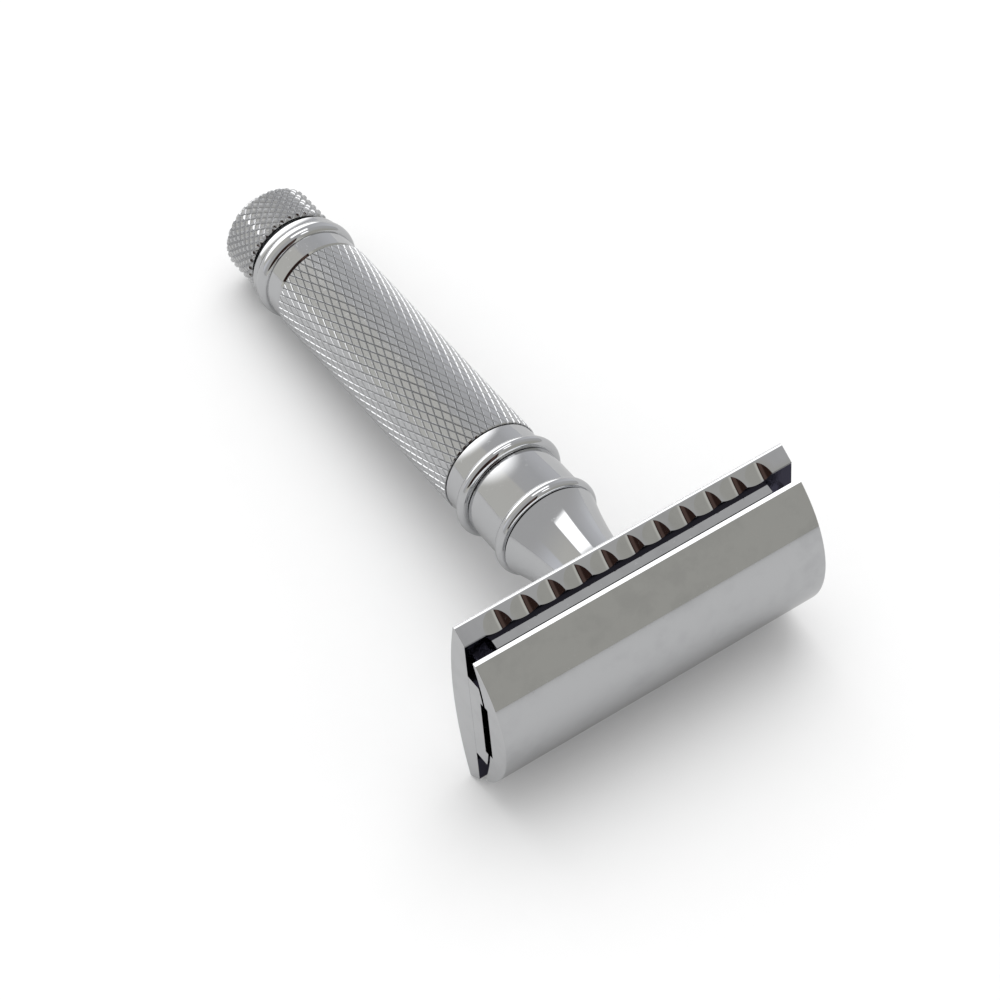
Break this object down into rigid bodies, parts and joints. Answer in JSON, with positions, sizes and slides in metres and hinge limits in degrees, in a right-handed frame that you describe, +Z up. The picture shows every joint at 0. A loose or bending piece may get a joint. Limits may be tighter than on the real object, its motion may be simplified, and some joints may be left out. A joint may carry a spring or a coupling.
{
  "type": "safety razor",
  "caption": "Two-piece double-edge safety razor lying on its side: domed cap, scalloped guard plate, waisted neck, knurled grip and a turning knob that lifts the cap.",
  "frame": {"origin": "centre of the bounding box's bottom: on the table under the lying razor", "axes": "+X along the head, +Y from the head to the knob, +Z up"},
  "size_m": [0.042, 0.0838, 0.0256],
  "materials": {
    "chrome": "polished",
    "brass": "machined",
    "steel": "machined"
  },
  "bodies": {
    "handle": {"base_plate": "chrome", "neck": "chrome", "collar_band": "chrome", "collar_ring": "chrome", "barrel": "chrome", "end_ferrule": "chrome", "upper_bush": "brass", "lower_bush": "brass"},
    "cap": {"cap": "chrome", "cap_stud": "brass", "cap_post_left": "steel", "cap_post_right": "steel"},
    "knob": {"knob": "chrome", "knob_plug": "chrome", "knob_washer": "steel", "draw_rod": "steel", "draw_nut": "brass", "nut_pin": "steel", "retaining_clip": "steel", "thrust_washer": "steel"}
  },
  "joints": [
    {"name": "knob_turn", "type": "hinge", "parent": "handle", "child": "knob", "pos_m": [0, -0.03364, 0.01285], "axis": [0, 0.9958, -0.0915], "range_deg": [0, 2880]},
    {"name": "cap_lift", "type": "slide", "parent": "handle", "child": "cap", "axis": [0, -0.9958, 0.0915], "range_m": [0, 0.0064]}
  ],
  "couplings": [
    {"joint": "cap_lift", "follows": "knob_turn", "m_per_rad": 0.00012732}
  ]
}
